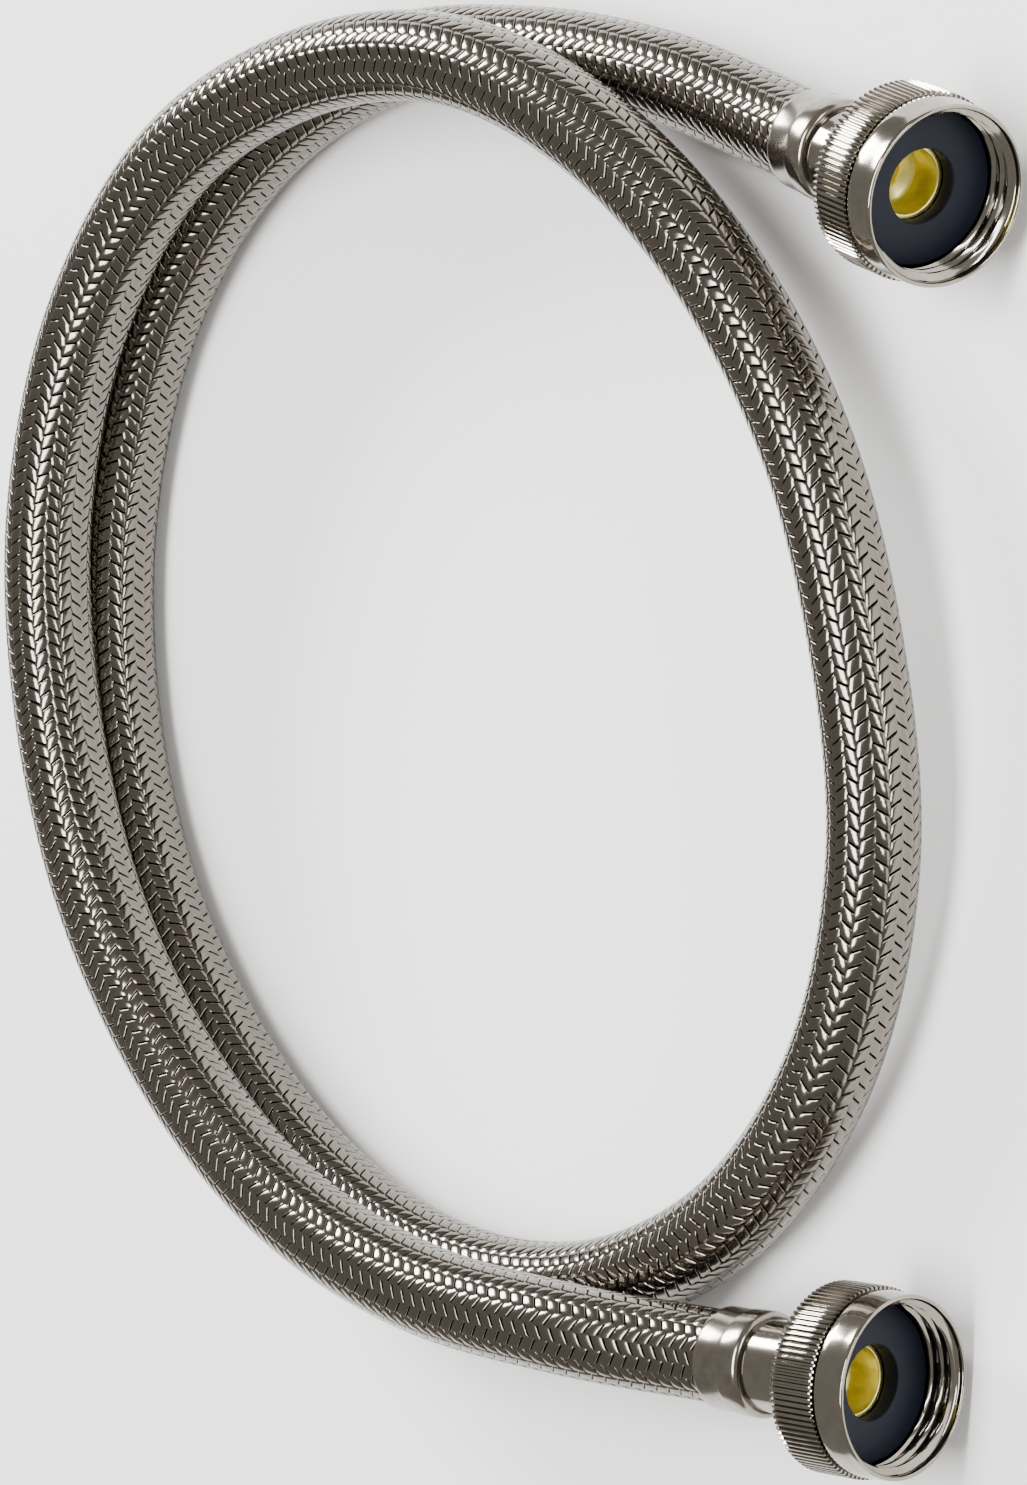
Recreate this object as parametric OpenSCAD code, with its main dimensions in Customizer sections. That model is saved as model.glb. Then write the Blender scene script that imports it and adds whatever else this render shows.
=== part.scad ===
// Braided water supply line: a rubber liner in a woven steel sleeve, lying in a loose coil,
// with a crimped ferrule, a barbed insert and a knurled swivel nut at each end.
// Millimetres, +Z up. The coil lies on Z = 0 and the origin is under the middle of its box.

/* [Hose] */
// outside diameter of the woven sleeve
hose_d = 15; // [14.6:0.1:15.2]
// thickness of the woven sleeve
braid_wall = 0.8; // [0.6:0.05:0.85]
// thickness of the rubber liner
liner_wall = 1.7; // [1.4:0.05:1.75]

/* [Ferrule] */
// length of the crimped ferrule
ferrule_l = 9.6; // [8:0.1:11]
// diameter of the ferrule over its shoulder bead
ferrule_d = 16.9; // [16.5:0.1:17.6]
// thickness of the ferrule's front wall
ferrule_front = 1.2; // [0.9:0.1:1.6]

/* [Insert] */
// diameter of the neck that the nut turns on
neck_d = 14.6; // [14:0.1:14.8]
// water passage through the insert
passage_d = 6.4; // [5:0.1:6.6]
// counterbore that shows through the washer
counterbore_d = 10.4; // [8:0.1:11]
// depth of the counterbore
counterbore_l = 6.5; // [3:0.5:8]
// diameter of the sealing flange
flange_d = 23; // [20:0.5:23.5]
// thickness of the sealing flange
flange_l = 1.8; // [1.4:0.1:2]

/* [Swivel nut] */
// inside diameter over the crests of the thread (3/4 inch garden hose thread)
thread_d = 24.9; // [24.7:0.05:25]
// length of thread in front of the washer
thread_l = 6.5; // [6:0.1:7]
// diameter of the smooth front ring
rim_d = 28.6; // [28.4:0.1:29.2]
// diameter over the knurl
knurl_d = 30; // [29.8:0.1:30.8]
// number of ridges round the knurl
knurl_count = 96; // [60:2:110]
// overall length of the nut
nut_l = 14.8; // [14.4:0.1:15.6]

/* [Washer] */
// thickness of the rubber washer
washer_l = 3; // [2.5:0.1:3.2]
// hole in the rubber washer
washer_hole_d = 11.7; // [11:0.1:13]

/* [Hidden] */
$fn = 96;

// where each ferrule's rear edge sits, and how each end points: turn about Z, then tilt up
end_a = [90.5, -68, 11.5];
turn_a = 253;
tilt_a = 10;
end_b = [-99.5, -60.5, 16.5];
turn_b = 267;
tilt_b = -1;

// distance from the ferrule's rear edge to the nut's mouth
mouth_u = 37;

// the route of the hose's middle between the two ferrules
route = [
    end_a,
    [102, -34, 9], [108, -1, 7.8], [108, 33, 7.5], [95, 64, 7.5], [70, 87, 7.5],
    [39, 98, 7.5], [5, 98, 7.5], [-27, 88, 7.5], [-55, 69, 7.5], [-77, 43, 7.5],
    [-90, 12, 7.5], [-91, -22, 7.5], [-78, -53, 8], [-53, -75, 9.5], [-21, -85, 12],
    [13, -83, 15], [45, -73, 17.5], [73, -54, 20.5], [94, -28, 22.5], [106, 4, 23],
    [105, 37, 23], [92, 68, 23], [66, 89, 23], [33, 98, 23], [0, 95, 23],
    [-32, 83, 23], [-59, 63, 23], [-80, 36, 23], [-92, 5, 23], [-97, -29, 21.5],
    end_b
];
hose_sides = 12;
steps = 2;             // rings to each stretch of the route

// gaps: between pieces of one end, and round the neck where the nut turns on it
gap = 0.3;
play = 0.06;

hose_r = hose_d / 2;
liner_r = hose_r - braid_wall - 0.05;
liner_bore_r = liner_r - liner_wall;
tail_r = liner_bore_r * cos(180 / hose_sides) - 0.03;
neck_r = neck_d / 2;
hose_depth = ferrule_l - ferrule_front - 0.1;

washer_u = mouth_u - thread_l - washer_l;
flange_u = washer_u - gap - flange_l;
seat_u = flange_u - gap;           // inner face of the nut's back wall
nut_u = mouth_u - nut_l;           // outer face of the nut's back wall

steel = [0.72, 0.70, 0.67];
nickel = [0.80, 0.78, 0.75];
brass = [0.80, 0.68, 0.25];
black_rubber = [0.10, 0.12, 0.17];

// ---- the hose's route -------------------------------------------------------------

function unit(v) = v / norm(v);
function heading(turn, tilt) = [cos(turn) * cos(tilt), sin(turn) * cos(tilt), sin(tilt)];

// the direction at point i, from its two neighbours; the ends point into their ferrules
function slope(i) =
    i == 0 ? -heading(turn_a, tilt_a) :
    i == len(route) - 1 ? heading(turn_b, tilt_b) :
    let (back = route[i] - route[i - 1], on = route[i + 1] - route[i])
    (unit(back) * norm(on) + unit(on) * norm(back)) / (norm(back) + norm(on));

// a point on stretch i, with t from 0 to 1 (a cubic that meets both slopes)
function along(i, t) =
    let (a = route[i], b = route[i + 1], reach = norm(b - a))
    a * (1 + 2 * t) * pow(1 - t, 2) + slope(i) * reach * t * pow(1 - t, 2)
    + b * t * t * (3 - 2 * t) - slope(i + 1) * reach * t * t * (1 - t);

// the hose's middle, with a straight run into each ferrule
path = concat(
    [end_a + hose_depth * heading(turn_a, tilt_a)],
    [for (i = [0 : len(route) - 2], k = [0 : steps - 1]) along(i, k / steps)],
    [end_b, end_b + hose_depth * heading(turn_b, tilt_b)]
);

function course(p, i) =
    i == 0 ? unit(p[1] - p[0]) :
    i == len(p) - 1 ? unit(p[i] - p[i - 1]) :
    unit(unit(p[i] - p[i - 1]) + unit(p[i + 1] - p[i]));

function ring(p, i, r) =
    let (t = course(p, i), side = unit(cross(t, [0, 0, 1])), up = cross(side, t))
    [for (k = [0 : hose_sides - 1])
        p[i] + r * (cos(360 * k / hose_sides) * side + sin(360 * k / hose_sides) * up)];

// a pipe swept along p: outer rings, then inner rings, closed by a flat ring at each end
module pipe(p, r_out, r_in) {
    n = hose_sides;
    m = len(p);
    points = [
        for (r = [r_out, r_in], i = [0 : m - 1]) each ring(p, i, r)
    ];
    outer = [for (i = [0 : m - 2], k = [0 : n - 1])
        [i * n + k, (i + 1) * n + k, (i + 1) * n + (k + 1) % n, i * n + (k + 1) % n]];
    inner = [for (i = [0 : m - 2], k = [0 : n - 1])
        [(m + i) * n + k, (m + i) * n + (k + 1) % n,
            (m + i + 1) * n + (k + 1) % n, (m + i + 1) * n + k]];
    first = [for (k = [0 : n - 1])
        [k, (k + 1) % n, m * n + (k + 1) % n, m * n + k]];
    last = [for (k = [0 : n - 1])
        [(m - 1) * n + (k + 1) % n, (m - 1) * n + k,
            (2 * m - 1) * n + k, (2 * m - 1) * n + (k + 1) % n]];
    polyhedron(points, concat(outer, inner, first, last), convexity = 6);
}

module liner() {
    color(black_rubber) pipe(path, liner_r, liner_bore_r);
}

module braid_sleeve() {
    color(steel) pipe(path, hose_r, hose_r - braid_wall);
}

// ---- the ends, drawn upright: the ferrule's rear edge at Z = 0, the mouth at the top ------

module at_end(spot, turn, tilt) {
    translate(spot) rotate([0, 90 - tilt, turn]) children();
}

module ferrule() {
    r = ferrule_d / 2;
    bore = hose_r + 0.05;
    lip = 0.5;             // wall and rounding of the rear lip
    taper_l = 4.6;         // the rear part widens up to here
    taper_h = 0.25;
    round_r = 1.1;
    color(nickel) rotate_extrude() polygon(concat(
        [[bore, 0], [bore + lip, 0], [bore + 1.1 * lip, lip], [r - taper_h, taper_l],
            [r, taper_l + 1], [r, ferrule_l - round_r]],
        [for (a = [15 : 15 : 90])
            [r - round_r + round_r * cos(a), ferrule_l - round_r + round_r * sin(a)]],
        [[neck_r + 0.05, ferrule_l], [neck_r + 0.05, ferrule_l - ferrule_front],
            [bore, ferrule_l - ferrule_front]]
    ));
}

// three saw-tooth barbs, then the neck, then the flange that the washer seals on
module insert() {
    shoulder = ferrule_l - ferrule_front;
    barb_l = 3;
    barb_h = 0.4;
    tail_u = -2;           // the tail reaches back past the ferrule's rear edge
    passage_r = passage_d / 2;
    front = flange_u + flange_l;
    color(brass) rotate_extrude() polygon(concat(
        [[passage_r, tail_u]],
        [for (i = [0 : 2]) each [[tail_r - barb_h, tail_u + i * barb_l],
            [tail_r, tail_u + (i + 1) * barb_l - barb_h]]],
        [[tail_r - barb_h, tail_u + 3 * barb_l], [tail_r - barb_h, shoulder], [neck_r, shoulder],
            [neck_r, flange_u], [flange_d / 2, flange_u], [flange_d / 2, front],
            [counterbore_d / 2, front], [counterbore_d / 2, front - counterbore_l],
            [passage_r, front - counterbore_l - 1]]
    ));
}

module washer() {
    slack = 0.1;
    color(black_rubber) translate([0, 0, washer_u]) difference() {
        cylinder(d = thread_d - slack, h = washer_l);
        translate([0, 0, -1]) cylinder(d = washer_hole_d, h = washer_l + 2);
    }
}

// straight ridges round a band, as a star-shaped disc
module knurl(d, h) {
    depth = 0.45;
    linear_extrude(height = h) polygon([for (i = [0 : 2 * knurl_count - 1])
        (d / 2 - (i % 2) * depth) * [cos(180 * i / knurl_count), sin(180 * i / knurl_count)]]);
}

module swivel_nut() {
    rim_r = rim_d / 2;
    thread_r = thread_d / 2;
    bevel = 0.5;
    groove_l = 0.4;        // between the knurl and the smooth ring
    groove_h = 0.4;
    smooth_l = 5.5;        // the smooth ring behind the mouth
    relief = 0.45;         // how far the room behind the thread is widened
    lead_in = 0.7;         // bevel at the mouth of the thread
    band_r = rim_r - groove_h;
    smooth_u = mouth_u - smooth_l;
    knurl_u = nut_u + bevel;
    color(nickel) difference() {
        union() {
            rotate_extrude() polygon([
                [0, nut_u], [band_r - bevel, nut_u], [band_r, knurl_u], [band_r, smooth_u],
                [rim_r + 0.2, smooth_u], [rim_r, mouth_u - bevel], [rim_r - bevel, mouth_u],
                [0, mouth_u]
            ]);
            translate([0, 0, knurl_u]) knurl(knurl_d, smooth_u - groove_l - knurl_u);
        }
        translate([0, 0, nut_u - 1]) cylinder(r = neck_r + play, h = nut_l + 2);
        translate([0, 0, seat_u]) cylinder(r = thread_r, h = nut_l);
        translate([0, 0, seat_u])
            cylinder(r = thread_r + relief, h = mouth_u - thread_l + gap - seat_u);
        translate([0, 0, mouth_u - lead_in])
            cylinder(r1 = thread_r, r2 = thread_r + 1.1, h = 1.01 * lead_in);
    }
}

module ferrule_a() { at_end(end_a, turn_a, tilt_a) ferrule(); }
module insert_a() { at_end(end_a, turn_a, tilt_a) insert(); }
module washer_a() { at_end(end_a, turn_a, tilt_a) washer(); }
module swivel_nut_a() { at_end(end_a, turn_a, tilt_a) swivel_nut(); }
module ferrule_b() { at_end(end_b, turn_b, tilt_b) ferrule(); }
module insert_b() { at_end(end_b, turn_b, tilt_b) insert(); }
module washer_b() { at_end(end_b, turn_b, tilt_b) washer(); }
module swivel_nut_b() { at_end(end_b, turn_b, tilt_b) swivel_nut(); }

liner();
braid_sleeve();
ferrule_a();
insert_a();
washer_a();
swivel_nut_a();
ferrule_b();
insert_b();
washer_b();
swivel_nut_b();
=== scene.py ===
"""A braided water supply line, lying in a loose coil of a turn and a half.

Metres, Z up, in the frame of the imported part. The hose follows ROUTE, the same points as the solids.
The woven sleeve is 20 separate flat strands, ten each way round, made by one Geometry Nodes tree.
Each end has a crimped ferrule, a plated insert with a brass bore, a washer and a swivel nut.
"""

import math

import bmesh
import bpy
import numpy as np
from mathutils import Matrix, Vector


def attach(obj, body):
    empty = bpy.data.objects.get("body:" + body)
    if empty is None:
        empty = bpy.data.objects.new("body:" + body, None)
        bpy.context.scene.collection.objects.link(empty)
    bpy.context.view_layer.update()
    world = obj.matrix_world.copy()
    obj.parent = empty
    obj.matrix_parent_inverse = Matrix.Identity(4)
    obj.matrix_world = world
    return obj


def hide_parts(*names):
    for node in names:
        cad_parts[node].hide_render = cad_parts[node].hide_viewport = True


MM = 0.001

# ---- sizes, in millimetres ------------------------------------------------------------------

# U is the way along an end, from the ferrule's rear edge at 0 to the nut's mouth
HOSE_D = 15.0
CORE_R = 6.75             # what shows between the strands: the liner's dark surface
CORE_SLACK = 0.1          # the core stops this far short of each ferrule's front wall

FERRULE_L = 9.6
FERRULE_R = 8.45          # over the shoulder bead
FERRULE_FRONT = 1.2       # thickness of the front wall
FERRULE_BORE_R = HOSE_D / 2 + 0.05
FERRULE_LIP = 0.3         # radius of its rolled edges
BEAD_START = 5.8          # the shoulder bead's straight top, along the ferrule
BEAD_STOP = 7.2
BEAD_ROUND = 1.1          # radius of the bead's front corner
CRIMP_DEPTH = 0.05        # the eight presses leave it this much out of round

MOUTH_U = 37.0
NECK_R = 7.3
COUNTERBORE_R = 5.2
COUNTERBORE_L = 6.5
PASSAGE_R = 3.2           # the water's way through the insert
FLANGE_R = 11.5
FLANGE_L = 1.8
FLANGE_EDGE = 0.3         # bevel round the flange
BORE_LIP = 0.25           # radius of the brass bore's front edge
LINING_R = COUNTERBORE_R + 0.7    # where the plated outside meets the brass

WASHER_L = 3.0
WASHER_HOLE_R = 5.85
WASHER_SLACK = 0.05       # between the washer's rim and the crests of the thread
WASHER_EDGE = 0.35        # radius of the washer's edges

THREAD_R = 12.45          # over the crests of the inside thread
THREAD_ROOT_R = 13.55
THREAD_PITCH = 25.4 / 11.5
THREAD_L = 6.5
THREAD_LEAD_IN = 0.75     # from the mouth to the first row of the thread
THREAD_ROWS_PER_TURN = 14
RELIEF = 0.45             # how far the room behind the thread is cut past the crests

NUT_L = 14.8
NUT_BACK = 2.6            # thickness of the wall that holds the nut on the neck
NUT_PLAY = 0.06           # between the nut's back wall and the neck
RIM_R = 14.3
SMOOTH_L = 5.5            # length of the smooth front ring
GROOVE_L = 0.4            # between the knurl and the smooth ring
GROOVE_DEPTH = 0.4
KNURL_R = 15.0
KNURL_DEPTH = 0.5
KNURL_COUNT = 96
KNURL_FACES = 6           # faces round each ridge
KNURL_EDGE = 0.4          # the knurl's ends are rounded over this length
BEVEL = 0.5               # between the nut's back and its knurl
GAP = 0.3                 # between pieces that turn against each other

WASHER_U = MOUTH_U - THREAD_L - WASHER_L
FLANGE_U = WASHER_U - GAP - FLANGE_L
FRONT_U = FLANGE_U + FLANGE_L
THREAD_STOP = MOUTH_U - THREAD_L + GAP
NUT_U = MOUTH_U - NUT_L
KNURL_U = NUT_U + BEVEL
SMOOTH_U = MOUTH_U - SMOOTH_L
KNURL_STOP = SMOOTH_U - GROOVE_L
BAND_R = RIM_R - GROOVE_DEPTH    # under the knurl and in the groove

# the two ends: where the ferrule's rear edge sits, the turn about Z and the tilt up, in degrees
ENDS = {
    "a": ((90.5, -68, 11.5), 253, 10),
    "b": ((-99.5, -60.5, 16.5), 267, -1),
}

# the hose's middle from ferrule to ferrule
ROUTE = [
    ENDS["a"][0],
    (102, -34, 9), (108, -1, 7.8), (108, 33, 7.5), (95, 64, 7.5), (70, 87, 7.5),
    (39, 98, 7.5), (5, 98, 7.5), (-27, 88, 7.5), (-55, 69, 7.5), (-77, 43, 7.5),
    (-90, 12, 7.5), (-91, -22, 7.5), (-78, -53, 8), (-53, -75, 9.5), (-21, -85, 12),
    (13, -83, 15), (45, -73, 17.5), (73, -54, 20.5), (94, -28, 22.5), (106, 4, 23),
    (105, 37, 23), (92, 68, 23), (66, 89, 23), (33, 98, 23), (0, 95, 23),
    (-32, 83, 23), (-59, 63, 23), (-80, 36, 23), (-92, 5, 23), (-97, -29, 21.5),
    ENDS["b"][0],
]

# ---- the frame ------------------------------------------------------------------------------

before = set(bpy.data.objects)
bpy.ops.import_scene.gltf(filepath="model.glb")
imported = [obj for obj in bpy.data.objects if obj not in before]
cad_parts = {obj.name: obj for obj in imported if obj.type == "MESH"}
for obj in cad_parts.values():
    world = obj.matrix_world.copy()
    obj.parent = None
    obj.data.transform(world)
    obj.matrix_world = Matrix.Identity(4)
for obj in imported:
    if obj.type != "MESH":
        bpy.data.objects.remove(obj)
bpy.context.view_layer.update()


def heading(end):
    """The way an end points, out of the nut's mouth."""
    _, turn, tilt = ENDS[end]
    t, e = math.radians(turn), math.radians(tilt)
    return np.array([math.cos(t) * math.cos(e), math.sin(t) * math.cos(e), math.sin(e)])


def end_matrix(end):
    """From an end's own upright frame, +Z out of the mouth, to the part's frame, in metres."""
    spot, turn, tilt = ENDS[end]
    return (
        Matrix.Translation(Vector(spot) * MM)
        @ Matrix.Rotation(math.radians(turn), 4, "Z")
        @ Matrix.Rotation(math.radians(90 - tilt), 4, "Y")
        @ Matrix.Scale(MM, 4)
    )


# ---- the hose's route -----------------------------------------------------------------------

def unit(v):
    return v / np.linalg.norm(v)


def route_slopes(points):
    """The direction at each point, from its neighbours; the ends point into their ferrules."""
    slopes = [-heading("a")]
    for before, here, after in zip(points, points[1:], points[2:]):
        back, on = here - before, after - here
        reach = np.linalg.norm(back) + np.linalg.norm(on)
        slopes.append((unit(back) * np.linalg.norm(on) + unit(on) * np.linalg.norm(back)) / reach)
    return slopes + [heading("b")]


def hose_line(steps=14):
    """The hose's middle in metres, from inside one ferrule to inside the other."""
    points = [np.array(p, float) for p in ROUTE]
    slopes = route_slopes(points)
    depth = FERRULE_L - FERRULE_FRONT - CORE_SLACK
    line = [points[0] + depth * heading("a")]
    for a, b, va, vb in zip(points, points[1:], slopes, slopes[1:]):
        reach = np.linalg.norm(b - a)
        for t in np.arange(steps) / steps:
            line.append(
                a * (1 + 2 * t) * (1 - t) ** 2 + va * reach * t * (1 - t) ** 2
                + b * t * t * (3 - 2 * t) - vb * reach * t * t * (1 - t)
            )
    line += [points[-1], points[-1] + depth * heading("b")]
    return np.array(line) * MM


LINE = hose_line()
HOSE_LENGTH = float(np.linalg.norm(np.diff(LINE, axis=0), axis=1).sum())

# ---- camera ---------------------------------------------------------------------------------

CAMERA_TARGET = Vector((-4.3, -3.2, 10)) * MM
CAMERA_DISTANCE = 1.2
CAMERA_ELEVATION = 44.3
CAMERA_ROLL = -88.8       # turned on its side, so that the coil stands upright in the picture
CAMERA_LENS = 179.5
SENSOR_W = 36


def make_camera():
    data = bpy.data.cameras.new("camera")
    data.lens = CAMERA_LENS
    data.sensor_width = SENSOR_W
    data.clip_start, data.clip_end = 0.05, 50
    camera = new_object("camera", data)
    tilt = math.radians(CAMERA_ELEVATION)
    back = Vector((0, -math.cos(tilt), math.sin(tilt)))
    camera.location = CAMERA_TARGET + back * CAMERA_DISTANCE
    camera.rotation_mode = "QUATERNION"
    upright = (-back).to_track_quat("-Z", "Y")
    rolled = Matrix.Rotation(math.radians(CAMERA_ROLL), 3, "Z").to_quaternion()
    camera.rotation_quaternion = upright @ rolled
    bpy.context.scene.camera = camera


# ---- materials ------------------------------------------------------------------------------

def material(name, colour, metallic, roughness, **more):
    """A plain shader; more names other sockets, with _ for a blank."""
    made = bpy.data.materials.new(name)
    made.use_nodes = True
    shader = made.node_tree.nodes["Principled BSDF"]
    shader.inputs["Base Color"].default_value = (*colour, 1)
    shader.inputs["Metallic"].default_value = metallic
    shader.inputs["Roughness"].default_value = roughness
    for key, value in more.items():
        shader.inputs[key.replace("_", " ")].default_value = value
    return made


SPOT_DETAIL = 3
SPOT_LOW, SPOT_HIGH = 0.35, 0.65    # the noise values between which one colour fades to the other


def mottle(made, size, second, rough, bump):
    """Breaks a plain material up: size of the spots in mm, second colour, roughness range, bump."""
    tree = made.node_tree
    shader = tree.nodes["Principled BSDF"]
    place = tree.nodes.new("ShaderNodeTexCoord")
    noise = tree.nodes.new("ShaderNodeTexNoise")
    noise.inputs["Scale"].default_value = 1 / (size * MM)
    noise.inputs["Detail"].default_value = SPOT_DETAIL
    tree.links.new(place.outputs["Object"], noise.inputs["Vector"])
    mix = tree.nodes.new("ShaderNodeMix")
    mix.data_type = "RGBA"
    mix.inputs["A"].default_value = shader.inputs["Base Color"].default_value
    mix.inputs["B"].default_value = (*second, 1)
    span = tree.nodes.new("ShaderNodeMapRange")
    span.inputs["From Min"].default_value = SPOT_LOW
    span.inputs["From Max"].default_value = SPOT_HIGH
    tree.links.new(noise.outputs["Fac"], span.inputs["Value"])
    tree.links.new(span.outputs["Result"], mix.inputs["Factor"])
    tree.links.new(mix.outputs["Result"], shader.inputs["Base Color"])
    gloss = tree.nodes.new("ShaderNodeMapRange")
    gloss.inputs["To Min"].default_value, gloss.inputs["To Max"].default_value = rough
    tree.links.new(noise.outputs["Fac"], gloss.inputs["Value"])
    tree.links.new(gloss.outputs["Result"], shader.inputs["Roughness"])
    raised = tree.nodes.new("ShaderNodeBump")
    raised.inputs["Strength"].default_value = 1
    raised.inputs["Distance"].default_value = bump * MM
    tree.links.new(noise.outputs["Fac"], raised.inputs["Height"])
    tree.links.new(raised.outputs["Normal"], shader.inputs["Normal"])
    return made


def bright_nickel():
    """The nuts' and necks' plating."""
    made = material("nickel", (0.29, 0.267, 0.23), 1, 0.14)
    return mottle(made, size=2.4, second=(0.255, 0.233, 0.197), rough=(0.08, 0.15), bump=0.0015)


def satin_nickel():
    """The ferrules' plating, duller where the presses have marked it."""
    made = material("satin_nickel", (0.29, 0.266, 0.232), 1, 0.25)
    return mottle(made, size=2.0, second=(0.22, 0.198, 0.168), rough=(0.12, 0.22), bump=0.004)


def bare_brass():
    """The inserts' bores."""
    made = material("brass", (0.95, 0.86, 0.30), 1, 0.3)
    return mottle(made, size=1.2, second=(0.86, 0.77, 0.26), rough=(0.26, 0.4), bump=0.004)


def washer_rubber():
    made = material("washer", (0.0042, 0.0062, 0.014), 0, 0.5, Specular_IOR_Level=0.2)
    return mottle(made, size=0.5, second=(0.004, 0.006, 0.012), rough=(0.5, 0.62), bump=0.01)


MATERIALS = {
    "wire": material("wire", (0.17, 0.152, 0.129), 1, 0.15),
    "liner": material("liner", (0.006, 0.005, 0.0045), 0, 0.6),
    "nickel": bright_nickel(),
    "satin_nickel": satin_nickel(),
    "brass": bare_brass(),
    "washer": washer_rubber(),
}

# ---- meshes ---------------------------------------------------------------------------------

SHARP_DEGREES = 35        # an edge that bends more than this is shaded sharp


def new_object(name, data):
    made = bpy.data.objects.new(name, data)
    bpy.context.scene.collection.objects.link(made)
    return made


def fitted(name, mesh, look, body, node):
    """A finished piece that rides on a body and stands for a node."""
    mesh.materials.append(MATERIALS[look])
    piece = new_object(name, mesh)
    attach(piece, body)
    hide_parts(node)
    return piece


def grid_mesh(name, points, closed_rows=False):
    """A mesh from points[row][column], where the columns run round and close on themselves."""
    rows, columns = points.shape[:2]
    faces = []
    for i in range(rows if closed_rows else rows - 1):
        here, there = i * columns, (i + 1) % rows * columns
        for k in range(columns):
            on = (k + 1) % columns
            faces.append((here + k, here + on, there + on, there + k))
    mesh = bpy.data.meshes.new(name)
    mesh.from_pydata(points.reshape(-1, 3).tolist(), [], faces)
    mesh.shade_smooth()
    mesh.set_sharp_from_angle(angle=math.radians(SHARP_DEGREES))
    return mesh


def tube(name, line, radius, sides=24):
    """A plain round tube along line, closed at both ends."""
    along = [unit(v) for v in np.gradient(line, axis=0)]
    turns = np.linspace(0, 2 * math.pi, sides, endpoint=False)
    rings = []
    for point, t in zip(line, along):
        side = unit(np.cross(t, (0, 0, 1)))
        up = np.cross(side, t)
        rings.append(point + radius * (np.outer(np.cos(turns), side) + np.outer(np.sin(turns), up)))
    mesh = grid_mesh(name, np.array(rings))
    last = (len(rings) - 1) * sides
    bm = bmesh.new()
    bm.from_mesh(mesh)
    bm.verts.ensure_lookup_table()
    bm.faces.new([bm.verts[k] for k in reversed(range(sides))])
    bm.faces.new([bm.verts[last + k] for k in range(sides)])
    bmesh.ops.recalc_face_normals(bm, faces=bm.faces)
    bm.to_mesh(mesh)
    bm.free()
    return mesh


def turned(name, end, profile, columns, shape=None):
    """A closed ring turned from profile, points (radius, u) in mm that run round a solid section.

    shape, if given, takes the radii, the heights and the turns of all points and gives new radii.
    """
    turns = np.linspace(0, 2 * math.pi, columns, endpoint=False)
    r, u = (np.repeat(np.array(v, float)[:, None], columns, 1) for v in zip(*profile))
    if shape:
        r = shape(r, u, turns[None])
    points = np.stack([r * np.cos(turns), r * np.sin(turns), u], axis=2)
    mesh = grid_mesh(name, points, closed_rows=True)
    mesh.transform(end_matrix(end))
    return mesh


def arc(r, u, radius, start, stop, steps=4):
    """Points (radius, u) on a rounded corner about (r, u), from angle start to stop."""
    return [
        (r + radius * math.cos(math.radians(a)), u + radius * math.sin(math.radians(a)))
        for a in np.linspace(start, stop, steps + 1)
    ]


# ---- the woven sleeve -----------------------------------------------------------------------

CARRIERS = 10             # strands each way round
LEAD = 24.3               # one strand's full turn takes this much hose
BANDS = 10                # places round the hose where one way's strands lie on top
WEAVE_R = 7.25            # out to the corners of the bands, which are flat
WAVE = 0.14               # a strand swings nearly this far out and in
STRAND_W = 2.14
STRAND_T = 0.12
ROWS_PER_BAND = 10        # rows of points for one swing out and back in
SOFTNESS = 0.2            # how gradually a strand goes from over to under
RING = 5                  # corners of a strand's section: four faces on top, one below
CROWDING = 0.6            # how far the corners crowd towards the strand's edges
NUDGE = 0.001             # keeps a whole number from being taken for the one before it
SMALL_NUDGE = 0.000001    # the same, where there are thousands of rows
GROUPS = 5                # pieces for each way round


class Sum:
    """A number on a node tree that can be added to, multiplied and so on, as plain ones can."""

    def __init__(self, tree, socket):
        self.tree = tree
        self.socket = socket

    def maths(self, operation, *others):
        node = self.tree.nodes.new("ShaderNodeMath")
        node.operation = operation
        for place, value in zip(node.inputs, (self, *others)):
            if isinstance(value, Sum):
                self.tree.links.new(value.socket, place)
            else:
                place.default_value = value
        return Sum(self.tree, node.outputs[0])

    def __add__(self, other):
        return self.maths("ADD", other)

    def __sub__(self, other):
        return self.maths("SUBTRACT", other)

    def __mul__(self, other):
        return self.maths("MULTIPLY", other)

    def __truediv__(self, other):
        return self.maths("DIVIDE", other)


WEAVE_SIZES = {
    "Strands": CARRIERS // GROUPS, "First": 0, "Carriers": CARRIERS, "Rows": 100, "Ring": RING,
    "Bands": BANDS, "Hand": 1.0, "Lead": LEAD * MM, "Radius": WEAVE_R * MM, "Wave": WAVE * MM,
    "Half Width": STRAND_W / 2 * MM, "Thickness": STRAND_T * MM,
}


def weave_inputs(tree):
    """The tree's named inputs, each ready to be used as a Sum."""
    tree.interface.new_socket("Geometry", in_out="INPUT", socket_type="NodeSocketGeometry")
    tree.interface.new_socket("Geometry", in_out="OUTPUT", socket_type="NodeSocketGeometry")
    tree.interface.new_socket("Material", in_out="INPUT", socket_type="NodeSocketMaterial")
    for name, value in WEAVE_SIZES.items():
        kind = "NodeSocketInt" if isinstance(value, int) else "NodeSocketFloat"
        tree.interface.new_socket(name, in_out="INPUT", socket_type=kind).default_value = value
    given = tree.nodes.new("NodeGroupInput")
    return {o.name: Sum(tree, o) for o in given.outputs if o.name}


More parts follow.
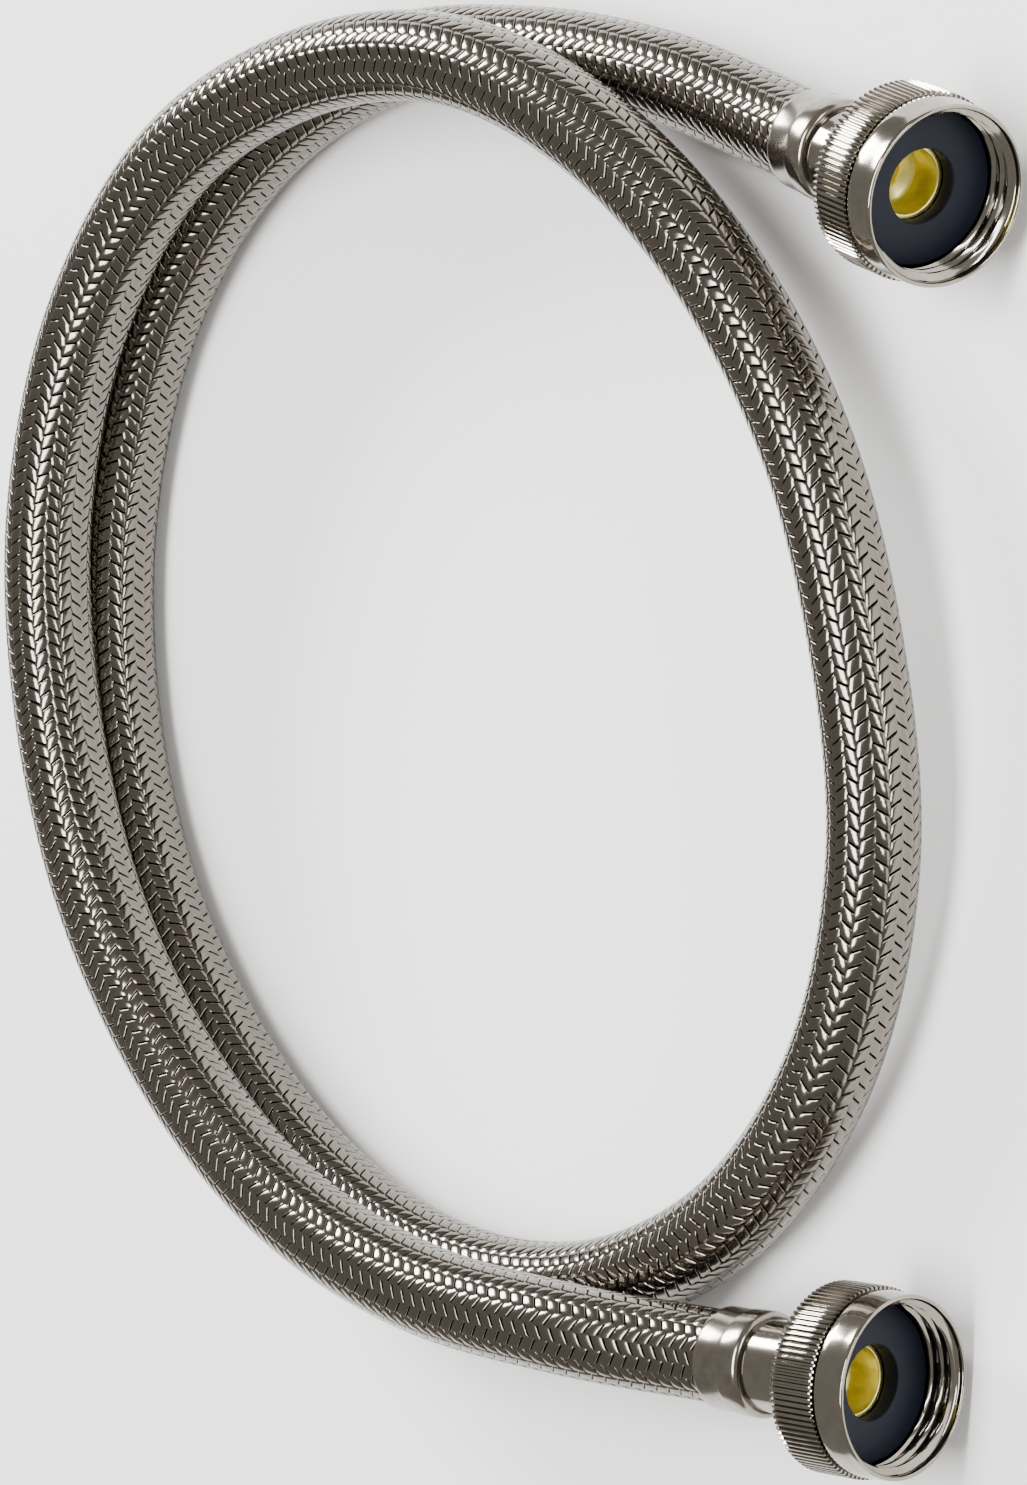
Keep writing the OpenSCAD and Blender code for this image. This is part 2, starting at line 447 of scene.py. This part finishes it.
def weave_prisms(tree, size):
    """One long prism for each strand, all in one place; only their points' order is used."""
    link = tree.links.new
    prism = tree.nodes.new("GeometryNodeMeshCylinder")
    prism.fill_type = "NGON"
    link(size["Ring"].socket, prism.inputs["Vertices"])
    link((size["Rows"] - 1).socket, prism.inputs["Side Segments"])
    spots = tree.nodes.new("GeometryNodeMeshLine")
    link(size["Strands"].socket, spots.inputs["Count"])
    copies = tree.nodes.new("GeometryNodeInstanceOnPoints")
    link(spots.outputs["Mesh"], copies.inputs["Points"])
    link(prism.outputs["Mesh"], copies.inputs["Instance"])
    real = tree.nodes.new("GeometryNodeRealizeInstances")
    link(copies.outputs["Instances"], real.inputs["Geometry"])
    return real.outputs["Geometry"]


def weave_place(tree, size, length):
    """Where each point goes: how far along the hose, the turn round it and the radius."""
    index = Sum(tree, tree.nodes.new("GeometryNodeInputIndex").outputs["Index"])
    corner = index.maths("MODULO", size["Ring"])
    ring = (index / size["Ring"] + NUDGE).maths("FLOOR")
    row = ring.maths("MODULO", size["Rows"])
    strand = (ring / size["Rows"] + SMALL_NUDGE).maths("FLOOR") + size["First"]
    # across runs from -1 to 1 over the strand's top, with the corners crowded towards the edges
    across = corner / (size["Ring"] - 1) * 2 - 1
    across = across * (across * across * -CROWDING + 1 + CROWDING)
    middle = row / (size["Rows"] - 1) * length
    turn = (strand / size["Carriers"] + size["Hand"] * middle / size["Lead"]) * 2 * math.pi
    # the strand's slope against the hose, laid out flat
    rise = size["Radius"] * 2 * math.pi
    slant = (rise * rise + size["Lead"] * size["Lead"]).maths("SQRT")
    side = across * size["Half Width"]
    along = middle - size["Hand"] * side * rise / slant
    turn = turn + side * size["Lead"] / slant / size["Radius"]
    # every crossing lies in the middle of a band
    swing = (turn * size["Bands"]).maths("COSINE")
    steep = (swing * swing + SOFTNESS).maths("SQRT")
    crown = size["Thickness"] * ((across * across).maths("POWER", 3) * -1 + 1)
    # a strand is pulled straight where it lies on top, so each band is flat across; lean is
    # the turn from the middle of the band, and half_band is the most that it can be
    bands_past = turn * size["Bands"] / math.pi
    lean = ((bands_past + 0.5).maths("FRACT") - 0.5) / size["Bands"] * math.pi
    half_band = size["Bands"].maths("POWER", -1) * (math.pi / 2)
    flat = size["Radius"] * half_band.maths("COSINE") / lean.maths("COSINE")
    radius = flat + size["Hand"] * size["Wave"] * swing / steep + crown
    return along, turn, radius


def scaled(tree, vector, number):
    node = tree.nodes.new("ShaderNodeVectorMath")
    node.operation = "SCALE"
    tree.links.new(vector, node.inputs["Vector"])
    tree.links.new(number.socket, node.inputs["Scale"])
    return node.outputs["Vector"]


def two_vectors(tree, operation, first, second):
    node = tree.nodes.new("ShaderNodeVectorMath")
    node.operation = operation
    tree.links.new(first, node.inputs[0])
    tree.links.new(second, node.inputs[1])
    return node.outputs["Vector"]


def weave_tree():
    """Flat strands wound round a curve, swinging out and in over and under those the other way."""
    tree = bpy.data.node_groups.new("weave", "GeometryNodeTree")
    link = tree.links.new
    size = weave_inputs(tree)
    curve = size["Geometry"].socket
    measured = tree.nodes.new("GeometryNodeCurveLength")
    link(curve, measured.inputs["Curve"])
    length = Sum(tree, measured.outputs["Length"])
    along, turn, radius = weave_place(tree, size, length)

    hose = tree.nodes.new("GeometryNodeSampleCurve")
    hose.mode = "LENGTH"
    link(curve, hose.inputs["Curves"])
    link(along.socket, hose.inputs["Length"])
    side = hose.outputs["Normal"]
    up = two_vectors(tree, "CROSS_PRODUCT", side, hose.outputs["Tangent"])
    out = two_vectors(
        tree, "ADD", scaled(tree, side, turn.maths("COSINE") * radius),
        scaled(tree, up, turn.maths("SINE") * radius))

    moved = tree.nodes.new("GeometryNodeSetPosition")
    link(weave_prisms(tree, size), moved.inputs["Geometry"])
    link(two_vectors(tree, "ADD", hose.outputs["Position"], out), moved.inputs["Position"])
    smooth = tree.nodes.new("GeometryNodeSetShadeSmooth")
    link(moved.outputs["Geometry"], smooth.inputs["Geometry"])
    real = tree.nodes.new("GeometryNodeRealizeInstances")
    link(smooth.outputs["Geometry"], real.inputs["Geometry"])
    coated = tree.nodes.new("GeometryNodeSetMaterial")
    link(real.outputs["Geometry"], coated.inputs["Geometry"])
    link(size["Material"].socket, coated.inputs["Material"])
    result = tree.nodes.new("NodeGroupOutput")
    link(coated.outputs["Geometry"], result.inputs["Geometry"])
    return tree


def route_curve():
    """The hose's middle as a curve object, for the tree to follow."""
    curve = bpy.data.curves.new("route", "CURVE")
    curve.dimensions = "3D"
    curve.twist_mode = "Z_UP"
    spline = curve.splines.new("POLY")
    spline.points.add(len(LINE) - 1)
    for point, place in zip(spline.points, LINE):
        point.co = (*place, 1)
    return curve


def woven_mesh(name, tree, hand, first):
    """The plain mesh of one group of strands: hand is -1 or 1, first the group's first strand."""
    sockets = {s.name: s.identifier for s in tree.interface.items_tree if s.in_out == "INPUT"}
    curve = route_curve()
    source = new_object("route", curve)
    live = source.modifiers.new("weave", "NODES")
    live.node_group = tree
    live[sockets["Rows"]] = int(HOSE_LENGTH / (LEAD * MM) * BANDS * ROWS_PER_BAND) + 1
    live[sockets["Hand"]] = hand
    live[sockets["First"]] = first
    live[sockets["Material"]] = MATERIALS["wire"]
    bpy.context.view_layer.update()
    seen = source.evaluated_get(bpy.context.evaluated_depsgraph_get())
    mesh = bpy.data.meshes.new_from_object(seen)
    mesh.name = name
    source.modifiers.remove(live)
    bpy.data.objects.remove(source)
    bpy.data.curves.remove(curve)
    return mesh


def make_weave():
    """The sleeve's strands, in GROUPS pieces for each way round."""
    tree = weave_tree()
    for way, hand in (("left", -1.0), ("right", 1.0)):
        for group in range(GROUPS):
            name = f"braid_{way}_{group + 1}"
            piece = new_object(name, woven_mesh(name, tree, hand, group * CARRIERS // GROUPS))
            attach(piece, "hose")
            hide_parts("braid_sleeve")


# ---- the hose's core ------------------------------------------------------------------------

def make_core():
    mesh = tube("hose_core", LINE, CORE_R * MM)
    return fitted("hose_core", mesh, "liner", "hose", "liner")


# ---- the ends -------------------------------------------------------------------------------

def make_ferrule(end):
    """Crimped on in eight presses, so that it is very slightly flat between them."""
    bore, outer, lip = FERRULE_BORE_R, FERRULE_R, FERRULE_LIP
    hole = NECK_R + 0.05
    front = FERRULE_L - FERRULE_FRONT
    profile = [(bore, lip + 0.05)]
    profile += arc(bore + lip, lip, lip, 180, 360, 5)
    profile += [(bore + 0.62, 0.9), (outer - 0.25, 4.4), (outer - 0.08, 5.1)]
    profile += [(outer, BEAD_START), (outer, BEAD_STOP)]
    profile += arc(outer - BEAD_ROUND, FERRULE_L - BEAD_ROUND, BEAD_ROUND, 0, 90, 5)
    profile += arc(hole + lip, FERRULE_L - lip, lip, 90, 180, 3)
    profile += [(hole, front), (bore, front)]

    def crimped(r, u, turns):
        band = np.clip((u - 1) / 2.5, 0, 1) * np.clip((FERRULE_L - 1.5 - u) / 1.5, 0, 1)
        return r - CRIMP_DEPTH * band * (r > bore + 0.1) * np.cos(4 * turns) ** 2

    mesh = turned("ferrule", end, profile, 128, crimped)
    node = f"ferrule_{end}"
    return fitted(f"ferrule_shell_{end}", mesh, "satin_nickel", "hose", node)


def make_neck(end):
    """The outside of the insert, plated: the neck that the nut turns on, and the flange."""
    edge, fillet = FLANGE_EDGE, 0.2
    shoulder = FERRULE_L - FERRULE_FRONT
    profile = [(LINING_R, shoulder), (NECK_R, shoulder), (NECK_R, FLANGE_U - fillet)]
    profile += [(NECK_R + fillet, FLANGE_U), (FLANGE_R - edge, FLANGE_U)]
    profile += [(FLANGE_R, FLANGE_U + edge), (FLANGE_R, FRONT_U - edge)]
    profile += [(FLANGE_R - edge, FRONT_U), (LINING_R, FRONT_U)]
    mesh = turned("neck", end, profile, 96)
    return fitted(f"insert_neck_{end}", mesh, "nickel", "hose", f"insert_{end}")


def make_bore(end):
    """The inside of the insert, bare brass: the counterbore and the passage behind it."""
    back = FRONT_U - COUNTERBORE_L
    outer = LINING_R - 0.01
    profile = [(outer, FRONT_U - 0.02), (outer, 0), (PASSAGE_R, 0)]
    profile += [(PASSAGE_R, back - 1), (PASSAGE_R + 0.2, back - 0.7), (COUNTERBORE_R - 0.4, back)]
    profile += [(COUNTERBORE_R, back + 0.5), (COUNTERBORE_R, FRONT_U - BORE_LIP)]
    profile += arc(COUNTERBORE_R + BORE_LIP, FRONT_U - BORE_LIP, BORE_LIP, 180, 90, 3)
    mesh = turned("bore", end, profile[::-1], 96)
    return fitted(f"insert_bore_{end}", mesh, "brass", "hose", f"insert_{end}")


def make_washer(end):
    """A flat ring with softened edges."""
    outer, hole, soft = THREAD_R - WASHER_SLACK, WASHER_HOLE_R, WASHER_EDGE
    top = WASHER_U + WASHER_L
    profile = arc(outer - soft, WASHER_U + soft, soft, -90, 0, 3)
    profile += arc(outer - soft, top - soft, soft, 0, 90, 3)
    profile += arc(hole + soft, top - soft, soft, 90, 180, 4)
    profile += arc(hole + soft, WASHER_U + soft, soft, 180, 270, 3)
    mesh = turned("washer", end, profile, 96)
    node = f"washer_{end}"
    return fitted(f"washer_ring_{end}", mesh, "washer", f"nut_{end}", node)


def nut_profile():
    """Back wall, knurl, groove, smooth ring and rolled rim."""
    hole = NECK_R + NUT_PLAY
    profile = [(hole, NUT_U + NUT_BACK), (hole, NUT_U + 0.2), (hole + 0.2, NUT_U)]
    profile += [(BAND_R - 0.9, NUT_U), (BAND_R - 0.35, NUT_U + 0.1), (BAND_R, NUT_U + 0.4)]
    profile += [(BAND_R, KNURL_U), (KNURL_R - 0.15, KNURL_U + 0.1), (KNURL_R, KNURL_U + KNURL_EDGE)]
    profile += [(KNURL_R, KNURL_U + 3), (KNURL_R, KNURL_STOP - 3), (KNURL_R, KNURL_STOP - KNURL_EDGE)]
    profile += [(KNURL_R - 0.15, KNURL_STOP - 0.1), (BAND_R, KNURL_STOP), (BAND_R, SMOOTH_U)]
    profile += arc(RIM_R + 0.05, SMOOTH_U + 0.16, 0.16, -90, 0, 3)
    profile += [(RIM_R + 0.2, SMOOTH_U + 1.2), (RIM_R + 0.12, MOUTH_U - 2.2), (RIM_R, MOUTH_U - 0.8)]
    profile += arc(RIM_R - 0.33, MOUTH_U - 0.33, 0.36, 10, 180, 8)
    return profile


def thread_rows():
    """Heights down the threaded wall, mouth first."""
    step = THREAD_PITCH / THREAD_ROWS_PER_TURN
    return np.arange(MOUTH_U - THREAD_LEAD_IN, THREAD_STOP, -step)


def make_nut(end):
    """The profile, with ridges cut round the knurl and a helix raised on the threaded wall."""
    profile = nut_profile()
    plain = len(profile)
    profile += [(THREAD_ROOT_R, u) for u in thread_rows()]
    threaded = len(profile)
    profile += [(THREAD_R + RELIEF, THREAD_STOP), (THREAD_R + RELIEF, NUT_U + NUT_BACK)]

    def cut(r, u, turns):
        ridges = np.clip(0.5 + 0.85 * np.cos(KNURL_COUNT * turns), 0, 1)
        raised = (r > BAND_R + 0.1) * (u < KNURL_STOP)
        made = r - raised * KNURL_DEPTH * (1 - ridges)
        rows = slice(plain, threaded)
        wave = np.cos(2 * math.pi * u[rows] / THREAD_PITCH - turns)
        crest = np.clip(0.5 + 0.62 * wave, 0, 1) ** 0.9
        fade = np.clip((MOUTH_U - 0.7 - u[rows]) / 0.8, 0, 1)
        made[rows] = THREAD_ROOT_R - (THREAD_ROOT_R - THREAD_R) * crest * fade
        return made

    mesh = turned("nut", end, profile, KNURL_COUNT * KNURL_FACES, cut)
    node = f"swivel_nut_{end}"
    return fitted(f"nut_shell_{end}", mesh, "nickel", f"nut_{end}", node)


# ---- stage ----------------------------------------------------------------------------------

FLOOR_REACH = 4           # metres from the middle of the floor to its edges
SURROUNDINGS = (0.45, 0.43, 0.40)

# each lamp's place and size in metres, and its power in watts
LAMPS = {
    "key": ((0.73, 0.81, 0.50), (0.4, 0.36), 28),
    "overhead": ((0, -0.12, 1.1), (1.0, 0.34), 28),
    "front": ((0.19, -1.08, 0.40), (0.9, 0.12), 8),
}


def lamp(name, spot, size, power):
    """A rectangular lamp that faces the middle of the coil."""
    data = bpy.data.lights.new(name, "AREA")
    data.shape = "RECTANGLE"
    data.size, data.size_y = size
    data.energy = power
    made = new_object(name, data)
    made.location = spot
    made.rotation_mode = "QUATERNION"
    made.rotation_quaternion = (-Vector(spot)).to_track_quat("-Z", "Y")


def make_floor():
    r = FLOOR_REACH
    mesh = bpy.data.meshes.new("floor")
    mesh.from_pydata([(-r, -r, 0), (r, -r, 0), (r, r, 0), (-r, r, 0)], [], [(0, 1, 2, 3)])
    mesh.materials.append(material("floor_white", (0.9, 0.9, 0.9), 0, 0.8))
    new_object("floor", mesh)


def make_surroundings():
    world = bpy.data.worlds.new("world")
    bpy.context.scene.world = world
    world.use_nodes = True
    backdrop = world.node_tree.nodes["Background"]
    backdrop.inputs["Color"].default_value = (*SURROUNDINGS, 1)
    backdrop.inputs["Strength"].default_value = 1


# ---- everything is made ---------------------------------------------------------------------

for end in ENDS:
    make_ferrule(end)
    make_neck(end)
    make_bore(end)
    make_washer(end)
    make_nut(end)
core = make_core()
make_weave()

make_camera()
make_floor()
for name, (spot, size, power) in LAMPS.items():
    lamp(name, spot, size, power)
make_surroundings()
